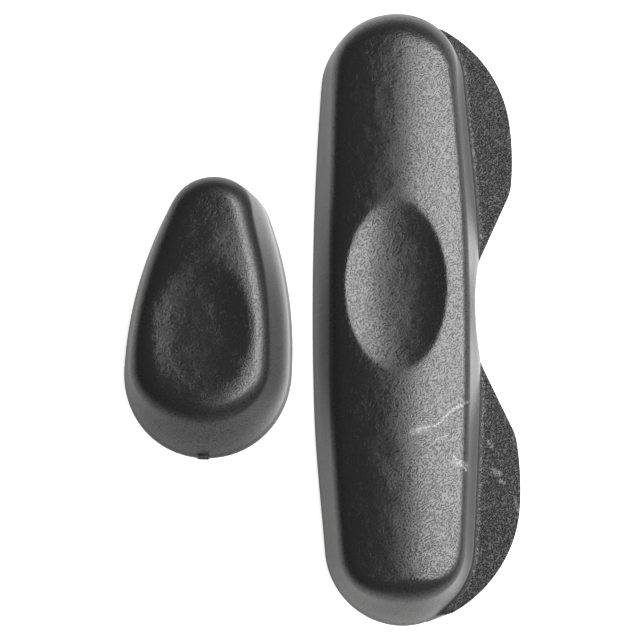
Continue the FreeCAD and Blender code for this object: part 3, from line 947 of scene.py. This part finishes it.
class SmallPad(MouldedPad):
    """The small egg-shaped pad, with its broad hollow at the wide end."""

    def __init__(self) -> None:
        """Sets the small pad's sizes."""
        hollow = Hollow(x=-1.8 * MM, y=-13.0 * MM, half_x=19.6 * MM, half_y=26.5 * MM,
                        depth=3.1 * MM, narrowing=0.08, power=2.3, rim_softness=0.9 * MM)
        super().__init__(
            name="small_pad_moulding", body="small_pad",
            covers=("small_pad_skin", "small_pad_foam"),
            outline=PadOutline(RoundEnd(-28.0 * MM, 35.7 * MM), RoundEnd(29.0 * MM, 24.4 * MM),
                               side_radius=165.0 * MM),
            crown=Crown(height=28.3 * MM, ridge_x=0.0, across_radius=120.0 * MM, along_radius=1.5,
                        hollow=hollow),
            wall=WallShape(
                lean=Around(right=0.40, far=0.12, left=0.27, near=0.60),
                shoulder=Around(right=5.0 * MM, far=10.0 * MM, left=6.0 * MM, near=8.0 * MM),
                trim=Around(right=0.4 * MM, far=0.0, left=0.2 * MM, near=-1.1 * MM),
                bulge=Around(right=1.0 * MM, far=0.2 * MM, left=0.0, near=0.4 * MM),
            ),
            # The right wall, which faces the light, gets a painted highlight through the glossier
            # skin.
            relief=Gate(half_width=3.0 * MM, reach=0.35 * MM), ribs=480, stretch=1.7, wear_and_lit_side=0.8,
            sway=1.2 * MM, sway_from=-60.0 * MM, sway_to=60.0 * MM,
        )

    def place(self) -> None:
        """Puts the small pad between its two screw mounts, which lie on its long axis."""
        spots = {mount["name"]: mount["pos_m"] for mount in frame["record"]["mounts"]}
        near, far = (np.array(spots["small_pad_screw_" + end][:2]) for end in ("near", "far"))
        middle, way = (near + far) / 2.0, far - near
        self.obj.location = (middle[0], middle[1], 0.0)
        self.obj.rotation_euler = (0.0, 0.0, math.atan2(way[1], way[0]) - math.pi / 2.0)
        bpy.context.view_layer.update()


# Finishes ---------------------------------------------------------------------------------------

class Shader:
    """One material's node tree, with a short call for each kind of node."""

    def __init__(self, name: str) -> None:
        """Starts a material with a bare surface shader.

        Args:
            name: The material's name.
        """
        self.material = bpy.data.materials.new(name)
        self.material.use_nodes = True
        self.tree = self.material.node_tree
        self.surface = self.tree.nodes["Principled BSDF"]

    def node(self, kind: str, **inputs: Union[Socket, float, tuple]) -> bpy.types.Node:
        """Adds a node.

        Args:
            kind: The node's type.
            **inputs: A value or socket for each input, with underscores for spaces.

        Returns:
            The node.
        """
        made = self.tree.nodes.new(kind)
        for name, value in inputs.items():
            self.feed(made.inputs[name.replace("_", " ")], value)
        return made

    def feed(self, socket: Socket, value: Union[Socket, float, tuple]) -> None:
        """Sets an input to a value, or joins it to another node's output."""
        if isinstance(value, bpy.types.NodeSocket):
            self.tree.links.new(value, socket)
        else:
            socket.default_value = value

    def joined(self, parts: Sequence[Socket]) -> Socket:
        """A vector made of three numbers."""
        made = self.tree.nodes.new("ShaderNodeCombineXYZ")
        for socket, part in zip(made.inputs, parts):
            self.feed(socket, part)
        return made.outputs["Vector"]

    def sum(self, action: str, *terms: Union[Socket, float]) -> Socket:
        """Does arithmetic on numbers.

        Args:
            action: The operation.
            *terms: Its terms.

        Returns:
            The result.
        """
        made = self.tree.nodes.new("ShaderNodeMath")
        made.operation = action
        for socket, term in zip(made.inputs, terms):
            self.feed(socket, term)
        return made.outputs[0]

    def vector_sum(self, action: str, first: Union[Socket, tuple],
                   second: Union[Socket, tuple], number: bool = False) -> Socket:
        """Does arithmetic on vectors.

        Args:
            action: The operation.
            first: The first vector.
            second: The second vector.
            number: Whether the result is a number.

        Returns:
            The result.
        """
        made = self.tree.nodes.new("ShaderNodeVectorMath")
        made.operation = action
        self.feed(made.inputs[0], first)
        self.feed(made.inputs[1], second)
        return made.outputs["Value" if number else "Vector"]

    def scaled(self, vector: Union[Socket, tuple], factor: Union[Socket, float]) -> Socket:
        """A vector times a number."""
        made = self.tree.nodes.new("ShaderNodeVectorMath")
        made.operation = "SCALE"
        self.feed(made.inputs[0], vector)
        self.feed(made.inputs["Scale"], factor)
        return made.outputs["Vector"]

    def drifted(self, place: Socket, pitch: float, reach: float) -> Socket:
        """A place moved about by soft noise.

        Args:
            place: The place.
            pitch: The size of the noise's clouds, in metres.
            reach: How far it is moved at most, in metres.

        Returns:
            The moved place.
        """
        cloud = self.noise(place, pitch, 3.0).outputs["Color"]
        shift = self.vector_sum("SUBTRACT", cloud, (0.5, 0.5, 0.5))
        return self.vector_sum("ADD", place, self.scaled(shift, reach))

    def rise(self, value: Socket, low: float, high: float, bottom: float = 0.0,
             top: float = 1.0) -> Socket:
        """Maps a number smoothly from one range to another.

        Args:
            value: The number.
            low: Where the rise starts.
            high: Where it ends.
            bottom: The result below low.
            top: The result above high.

        Returns:
            The result.
        """
        made = self.tree.nodes.new("ShaderNodeMapRange")
        made.interpolation_type = "SMOOTHSTEP"
        for name, term in (("Value", value), ("From Min", low), ("From Max", high),
                           ("To Min", bottom), ("To Max", top)):
            self.feed(made.inputs[name], term)
        return made.outputs["Result"]

    def place(self) -> Socket:
        """The point's place on the object, in metres."""
        return self.node("ShaderNodeTexCoord").outputs["Object"]

    def painted(self, name: str) -> Socket:
        """A value painted on the mesh."""
        made = self.node("ShaderNodeAttribute")
        made.attribute_name = name
        return made.outputs["Fac"]

    def noise(self, place: Socket, pitch: float, detail: float = 2.0,
              rough: float = 0.5) -> bpy.types.Node:
        """Soft cloudy noise.

        Args:
            place: Where it is read.
            pitch: The size of its clouds, in metres.
            detail: How many finer layers it has.
            rough: How strong those are.

        Returns:
            The node.
        """
        return self.node("ShaderNodeTexNoise", Vector=place, Scale=1.0 / pitch, Detail=detail,
                         Roughness=rough)

    def bump(self, height: Socket, depth: float, below: Optional[Socket] = None,
             strength: Union[Socket, float] = 1.0) -> Socket:
        """Small relief.

        Args:
            height: The height, from 0 to 1.
            depth: What a height of 1 stands for, in metres.
            below: The relief that this one is added to.
            strength: How much of it shows.

        Returns:
            The surface direction.
        """
        made = self.node("ShaderNodeBump", Height=height, Distance=depth, Strength=strength)
        if below is not None:
            self.feed(made.inputs["Normal"], below)
        return made.outputs["Normal"]

    def blend(self, share: Union[Socket, float], first: Union[Socket, tuple],
              second: Union[Socket, tuple]) -> Socket:
        """Mixes two colours.

        Args:
            share: How much of the second.
            first: The first colour.
            second: The second colour.

        Returns:
            The mixed colour.
        """
        made = self.tree.nodes.new("ShaderNodeMix")
        made.data_type = "RGBA"
        self.feed(made.inputs["Factor"], share)
        self.feed(made.inputs[6], first)
        self.feed(made.inputs[7], second)
        return made.outputs[2]

    def finish(self, **inputs: Union[Socket, float, tuple]) -> bpy.types.Material:
        """Sets the surface shader's inputs.

        Args:
            **inputs: A value or socket for each input, with underscores for spaces.

        Returns:
            The material.
        """
        for name, value in inputs.items():
            self.feed(self.surface.inputs[name.replace("_", " ")], value)
        return self.material


class Finish:
    """A material that can be put on objects."""

    def material(self) -> bpy.types.Material:
        """Makes the material."""
        raise NotImplementedError

    def put_on(self, *objects: bpy.types.Object) -> None:
        """Makes this the only material of some objects.

        Args:
            *objects: The objects.
        """
        made = self.material()
        for obj in objects:
            obj.data.materials.clear()
            obj.data.materials.append(made)


@dataclass(frozen=True)
class Scuff:
    """A scrape across the skin, from start to end. Both are plan places in the pad's frame."""

    start: tuple[float, float]
    end: tuple[float, float]
    width: float
    strength: float


@dataclass(frozen=True)
class GrainedSkin(Finish):
    """Black self-skinned polyurethane with a moulded leather grain and a few scuffs.

    The lit_wall values are for the right walls, which face the light: their smoother, glossier skin
    with more sheen is a painted highlight, and the lower shaded_wall_gloss of the other walls is
    painted shade. Creases between the wrinkles reflect less than their tops, as painted shade, by
    crease_shade_gloss, and by coarse_crease_shade_gloss on the flange. haze is the pale bloom of dust
    on a wall. The grain's noise is a crease below crease_edge and the top of a wrinkle above top_edge.
    along_grain and across_grain make the wrinkles long one way and narrow the other. bend and
    bend_pitch make them wander, and scuff_bend the scuffs.
    """

    name: str
    color: Color = (0.010, 0.010, 0.0104, 1.0)
    scuff_color: Color = (0.30, 0.30, 0.29, 1.0)
    roughness: float = 0.23
    wall_roughness: float = 0.5
    lit_wall_roughness: float = 0.34
    coarse_roughness: float = 0.55
    gloss: float = 0.5
    # Painted shade and highlight: the walls reflect less than the crown, and the right wall, which
    # faces the light, more.
    shaded_wall_gloss: float = 0.38
    lit_wall_gloss: float = 0.85
    # Painted shade: the creases between the wrinkles reflect less than their tops.
    crease_shade_gloss: float = 0.40
    coarse_crease_shade_gloss: float = 0.15
    haze: float = 0.12
    lit_wall_sheen: float = 0.22
    grain_pitch: float = 0.48 * MM
    grain_depth: float = 0.032 * MM
    coarse_depth: float = 0.13 * MM
    fine_pitch: float = 0.45 * MM
    fine_depth: float = 0.016 * MM
    wave_pitch: float = 14.0 * MM
    wave_depth: float = 0.05 * MM
    crease_edge: float = 0.34
    top_edge: float = 0.62
    along_grain: Vector = (0.36, 0.36, 0.0)
    across_grain: Vector = (0.74, -0.74, 0.0)
    bend: float = 7.0 * MM
    bend_pitch: float = 9.0 * MM
    scuff_bend: float = 1.5 * MM
    scuff_bend_pitch: float = 2.6 * MM
    speck_pitch: float = 0.7 * MM
    scuffs: tuple[Scuff, ...] = ()

    def wrinkles(self, shader: Shader, place: Socket) -> Socket:
        """The grain's slanting wrinkles: 1 on their tops and 0 in the creases between them."""
        bent = shader.drifted(place, self.bend_pitch, self.bend)
        parts = [shader.vector_sum("DOT_PRODUCT", bent, way, number=True)
                 for way in (self.along_grain, self.across_grain, UPWARD)]
        cloud = shader.noise(shader.joined(parts), self.grain_pitch, 1.5, 0.5).outputs["Fac"]
        return shader.rise(cloud, self.crease_edge, self.top_edge)

    def grain(self, shader: Shader, place: Socket, wrinkles: Socket) -> Socket:
        """The relief of the moulded grain.

        Args:
            shader: The shader it is for.
            place: The point's place on the pad.
            wrinkles: The grain's wrinkles.

        Returns:
            The surface direction.
        """
        painted = shader.painted(GRAIN)
        fine = shader.noise(place, self.fine_pitch, 2.0, 0.6).outputs["Fac"]
        wave = shader.noise(place, self.wave_pitch, 1.0).outputs["Fac"]
        waved = shader.bump(wave, self.wave_depth)
        fined = shader.bump(fine, self.fine_depth, waved, shader.rise(painted, 0.0, 1.0, 0.35, 1.0))
        grained = shader.bump(wrinkles, self.grain_depth, fined, painted)
        return shader.bump(wrinkles, self.coarse_depth, grained, shader.painted(COARSE))

    def scrape(self, shader: Shader, place: Socket, scuff: Scuff) -> Socket:
        """How much of one scuff there is at a point.

        Args:
            shader: The shader it is for.
            place: The point's place on the pad, with its height left out.
            scuff: The scuff.

        Returns:
            The share, from 0 to its strength.
        """
        start, end = (*scuff.start, 0.0), (*scuff.end, 0.0)
        run = tuple(b - a for a, b in zip(start, end))
        length = math.hypot(*run)
        offset = shader.vector_sum("SUBTRACT", place, start)
        along = shader.vector_sum("DOT_PRODUCT", offset, tuple(step / length ** 2 for step in run),
                                  number=True)
        held = shader.node("ShaderNodeClamp", Value=along).outputs[0]
        gap = shader.vector_sum("DISTANCE", offset, shader.scaled(run, held), number=True)
        return shader.rise(gap, 0.2 * scuff.width, scuff.width, scuff.strength, 0.0)

    def wear(self, shader: Shader, place: Socket) -> Socket:
        """All the scuffs together, broken up into specks.

        Args:
            shader: The shader they are for.
            place: The point's place on the pad.

        Returns:
            The share of scuffed skin, from 0 to 1.
        """
        drifted = shader.drifted(place, self.scuff_bend_pitch, self.scuff_bend)
        flat = shader.vector_sum("MULTIPLY", drifted, (1.0, 1.0, 0.0))
        total: Optional[Socket] = None
        for scuff in self.scuffs:
            one = self.scrape(shader, flat, scuff)
            total = one if total is None else shader.sum("MAXIMUM", total, one)
        specks = shader.noise(place, self.speck_pitch, 3.0, 0.7).outputs["Fac"]
        return shader.sum("MULTIPLY", total, shader.rise(specks, 0.40, 0.60))

    def graded(self, shader: Shader, wear_and_lit_side: float, wall: float, crown: float) -> Socket:
        """A value that changes from the right wall, which faces the light, over the other walls to the
        crown.
        Used for gloss, it paints a highlight on that wall and shade on the other walls. Used for
        sheen, it paints a highlight on that wall.

        Args:
            shader: The shader it is for.
            wear_and_lit_side: The value on the right wall, which faces the light, and on the edges.
            wall: The value on the other walls.
            crown: The value on the crown.

        Returns:
            The value.
        """
        painted = shader.painted(GRAIN)
        lower = shader.rise(painted, 0.0, 0.25, wear_and_lit_side, wall)
        return shader.sum("ADD", lower, shader.rise(painted, 0.25, 1.0, 0.0, crown - wall))

    def material(self) -> bpy.types.Material:
        """Makes the material."""
        shader = Shader(self.name)
        place = shader.place()
        wrinkles = self.wrinkles(shader, place)
        normal = self.grain(shader, place, wrinkles)
        smooth = self.graded(shader, self.lit_wall_roughness, self.wall_roughness, self.roughness)
        coarse = shader.rise(shader.painted(COARSE), 0.0, 1.0, 0.0, self.coarse_roughness)
        rough = shader.sum("MAXIMUM", smooth, coarse)
        # Painted highlight and shade: more reflection on the right wall facing the light, less on the
        # other walls.
        gloss = self.graded(shader, self.lit_wall_gloss, self.shaded_wall_gloss, self.gloss)
        # Painted shade in the creases: their reflection is turned down, more on the flange.
        crease = shader.rise(shader.painted(COARSE), 0.0, 1.0, self.crease_shade_gloss,
                             self.coarse_crease_shade_gloss)
        crease_shaded = shader.rise(wrinkles, 0.0, 0.8, crease, 1.0)
        # The extra sheen on the right wall, which faces the light, is a painted highlight.
        haze = self.graded(shader, self.lit_wall_sheen, self.haze, 0.0)
        shader.finish(Specular_IOR_Level=shader.sum("MULTIPLY", gloss, crease_shaded),
                      Sheen_Weight=haze, Sheen_Roughness=0.45)
        if not self.scuffs:
            return shader.finish(Base_Color=self.color, Roughness=rough, IOR=1.5, Normal=normal)
        wear_and_lit_side = self.wear(shader, place)
        color = shader.blend(wear_and_lit_side, self.color, self.scuff_color)
        rough = shader.sum("MAXIMUM", rough, shader.rise(wear_and_lit_side, 0.0, 1.0, 0.0, 0.7))
        return shader.finish(Base_Color=color, Roughness=rough, IOR=1.5, Normal=normal)


@dataclass(frozen=True)
class MouldedPlastic(Finish):
    """Black glass-filled plastic with a faint spark-eroded texture."""

    name: str
    color: Color = (0.022, 0.022, 0.023, 1.0)
    roughness: float = 0.5
    roughness_spread: float = 0.06
    cloud_pitch: float = 18.0 * MM
    speckle_pitch: float = 0.35 * MM
    speckle_depth: float = 0.012 * MM

    def material(self) -> bpy.types.Material:
        """Makes the material."""
        shader = Shader(self.name)
        speckle = shader.noise(shader.place(), self.speckle_pitch, 2.0).outputs["Fac"]
        cloud = shader.noise(shader.place(), self.cloud_pitch, 2.0).outputs["Fac"]
        rough = shader.rise(cloud, 0.3, 0.7, self.roughness - self.roughness_spread,
                            self.roughness + self.roughness_spread)
        return shader.finish(Base_Color=self.color, Roughness=rough,
                             Normal=shader.bump(speckle, self.speckle_depth))


@dataclass(frozen=True)
class PlatedSteel(Finish):
    """Zinc plated steel, with the soft mottling and drawn lines of plated strip."""

    name: str
    color: Color
    dull_color: Color
    roughness: float
    drawn: float = 0.0
    mottle_pitch: float = 3.5 * MM
    line_pitch: float = 0.4 * MM
    line_depth: float = 0.006 * MM

    def material(self) -> bpy.types.Material:
        """Makes the material."""
        shader = Shader(self.name)
        place = shader.place()
        mottle = shader.noise(place, self.mottle_pitch, 3.0).outputs["Fac"]
        stretched = shader.vector_sum("MULTIPLY", place, (1.0, 0.04, 1.0))
        lines = shader.noise(stretched, self.line_pitch, 2.0).outputs["Fac"]
        color = shader.blend(shader.rise(mottle, 0.35, 0.65), self.color, self.dull_color)
        rough = shader.rise(mottle, 0.3, 0.7, self.roughness - 0.07, self.roughness + 0.09)
        return shader.finish(Base_Color=color, Metallic=1.0, Roughness=rough,
                             Normal=shader.bump(lines, self.line_depth, strength=self.drawn))


class Hardware(Enum):
    """The fitted parts under a pad. Each value ends the names of the model's nodes for it."""

    CARRIER = "_carrier"
    STRIP = "_strip"
    NUTS = "_weld_nuts"
    RIVETS = "_rivets"


@dataclass
class FittedHardware:
    """The carriers, nut strips, weld nuts and rivets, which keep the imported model's shapes."""

    finishes: dict[Hardware, Finish] = field(default_factory=lambda: {
        Hardware.CARRIER: MouldedPlastic("black_polypropylene"),
        Hardware.STRIP: PlatedSteel("zinc_plated_strip", (0.62, 0.62, 0.60, 1.0),
                                    (0.50, 0.50, 0.49, 1.0), roughness=0.34, drawn=1.0),
        Hardware.NUTS: PlatedSteel("zinc_plated_nut", (0.64, 0.63, 0.58, 1.0),
                                   (0.52, 0.51, 0.47, 1.0), roughness=0.30, drawn=0.3),
        Hardware.RIVETS: PlatedSteel("rivet_steel", (0.58, 0.58, 0.57, 1.0),
                                     (0.47, 0.47, 0.46, 1.0), roughness=0.38),
    })

    def dress(self) -> None:
        """Puts each kind of hardware in its finish."""
        for kind, finish in self.finishes.items():
            nodes = [obj for name, obj in frame["nodes"].items() if name.endswith(kind.value)]
            finish.put_on(*nodes)
            log.info("%s: %s", kind.name.lower(), ", ".join(obj.name for obj in nodes))


# Studio -----------------------------------------------------------------------------------------

@dataclass(frozen=True)
class SoftPanel:
    """A large soft light overhead. It faces straight down and spans a box of directions.

    The spans are slopes from upright as seen from the middle of the object, along X and along Y.
    """

    name: str
    height: float
    across: tuple[float, float]
    along: tuple[float, float]
    radiance: float

    def hang(self, middle: Array) -> None:
        """Adds the light.

        Args:
            middle: The middle of the object.
        """
        low = np.array([self.across[0], self.along[0]]) * self.height
        high = np.array([self.across[1], self.along[1]]) * self.height
        size = high - low
        light = bpy.data.lights.new(self.name, "AREA")
        light.shape = "RECTANGLE"
        light.size, light.size_y = float(size[0]), float(size[1])
        light.energy = self.radiance * math.pi * float(size[0] * size[1])
        obj = bpy.data.objects.new(self.name, light)
        spot = middle[:2] + (low + high) / 2.0
        obj.location = (float(spot[0]), float(spot[1]), self.height)
        bpy.context.scene.collection.objects.link(obj)


@dataclass
class Studio:
    """The soft light, the dim surroundings and the camera."""

    panels: tuple[SoftPanel, ...] = (
        SoftPanel("right_panel", height=1.5, across=(0.215, 1.7), along=(-0.45, 0.8),
                  radiance=11.8),
    )
    surround: float = 0.06
    sensor: float = 36.0
    lens: float = 68.4
    distance: float = 0.5145
    tilt: float = math.radians(7.5)
    aim: tuple[float, float] = (0.25 * MM, -2.9 * MM)

    @property
    def middle(self) -> Array:
        """The middle of the model's box."""
        return (np.array(CAD_BOX[0]) + np.array(CAD_BOX[1])) / 2.0

    def light(self) -> None:
        """Hangs the panels and sets the surroundings' glow."""
        for panel in self.panels:
            panel.hang(self.middle)
        world = bpy.data.worlds.new("studio_surround")
        bpy.context.scene.world = world
        world.use_nodes = True
        glow = world.node_tree.nodes["Background"]
        glow.inputs["Color"].default_value = (1.0, 1.0, 1.0, 1.0)
        glow.inputs["Strength"].default_value = self.surround

    def set_camera(self) -> None:
        """Looks down on both pads from above the table, a little from the front."""
        middle = self.middle
        lens = bpy.data.cameras.new("camera")
        lens.sensor_width, lens.lens = self.sensor, self.lens
        camera = bpy.data.objects.new("camera", lens)
        camera.location = (
            float(middle[0]) + self.aim[0],
            float(middle[1]) + self.aim[1] - self.distance * math.sin(self.tilt),
            self.distance * math.cos(self.tilt),
        )
        camera.rotation_euler = (self.tilt, 0.0, 0.0)
        bpy.context.scene.collection.objects.link(camera)
        bpy.context.scene.camera = camera
        bpy.context.scene.view_settings.view_transform = "Standard"


@dataclass
class Tabletop:
    """The plain white table, which lies a hair below the pads and glows a little."""

    size: float = 24.0
    drop: float = 0.1 * MM
    color: Color = (0.60, 0.60, 0.59, 1.0)
    glow: float = 0.80

    def lay(self) -> None:
        """Builds the table."""
        half = self.size / 2.0
        mesh = bpy.data.meshes.new("table_top")
        corners = [(-half, -half, 0.0), (half, -half, 0.0), (half, half, 0.0), (-half, half, 0.0)]
        mesh.from_pydata(corners, [], [(0, 1, 2, 3)])
        table = bpy.data.objects.new("table_top", mesh)
        bpy.context.scene.collection.objects.link(table)
        table.location.z = -self.drop
        shader = Shader("white_table")
        made = shader.finish(Base_Color=self.color, Roughness=0.9,
                             Emission_Color=(1.0, 1.0, 0.99, 1.0), Emission_Strength=self.glow)
        mesh.materials.append(made)


def long_pad_scuffs() -> tuple[Scuff, ...]:
    """The scuffs on the front half of the long pad.

    Returns:
        A long scratch in three strokes with specks at its start, two short scratches with specks
        beside one of them, and small marks on the flange and its edge.
    """
    scratch = (
        Scuff((5.4 * MM, -50.0 * MM), (13.0 * MM, -48.5 * MM), 0.7 * MM, 0.7),
        Scuff((13.0 * MM, -48.5 * MM), (20.2 * MM, -42.0 * MM), 0.7 * MM, 0.8),
        Scuff((20.2 * MM, -42.0 * MM), (25.8 * MM, -39.0 * MM), 0.8 * MM, 0.9),
        Scuff((3.8 * MM, -51.2 * MM), (8.6 * MM, -49.4 * MM), 2.4 * MM, 0.45),
    )
    short_ones = (
        Scuff((19.0 * MM, -59.4 * MM), (24.8 * MM, -66.1 * MM), 0.6 * MM, 0.9),
        Scuff((20.5 * MM, -63.0 * MM), (25.0 * MM, -64.0 * MM), 2.2 * MM, 0.35),
        Scuff((12.9 * MM, -54.3 * MM), (17.5 * MM, -52.3 * MM), 0.6 * MM, 0.4),
    )
    flange_marks = (
        Scuff((37.2 * MM, -54.4 * MM), (37.8 * MM, -56.0 * MM), 1.4 * MM, 0.5),
        Scuff((38.4 * MM, -66.4 * MM), (41.0 * MM, -67.6 * MM), 1.8 * MM, 0.5),
        Scuff((41.6 * MM, -70.2 * MM), (42.6 * MM, -71.4 * MM), 1.2 * MM, 0.45),
        Scuff((47.2 * MM, -77.0 * MM), (48.2 * MM, -83.0 * MM), 0.9 * MM, 0.35),
    )
    return scratch + short_ones + flange_marks


def main() -> None:
    """Builds and dresses both pads, then the table, the light and the camera."""
    logging.basicConfig(level=logging.INFO, format="%(name)s: %(message)s")
    long_skin = GrainedSkin("long_pad_skin", scuffs=long_pad_scuffs())
    # The small pad's right wall, which faces the light, gets strong sheen as a painted highlight.
    small_skin = GrainedSkin("small_pad_skin", haze=0.0, lit_wall_sheen=0.5)
    for pad, skin in ((LongPad(), long_skin), (SmallPad(), small_skin)):
        pad.build()
        pad.fit(skin)
    FittedHardware().dress()
    Tabletop().lay()
    studio = Studio()
    studio.light()
    studio.set_camera()


if __name__ == "__main__":
    main()
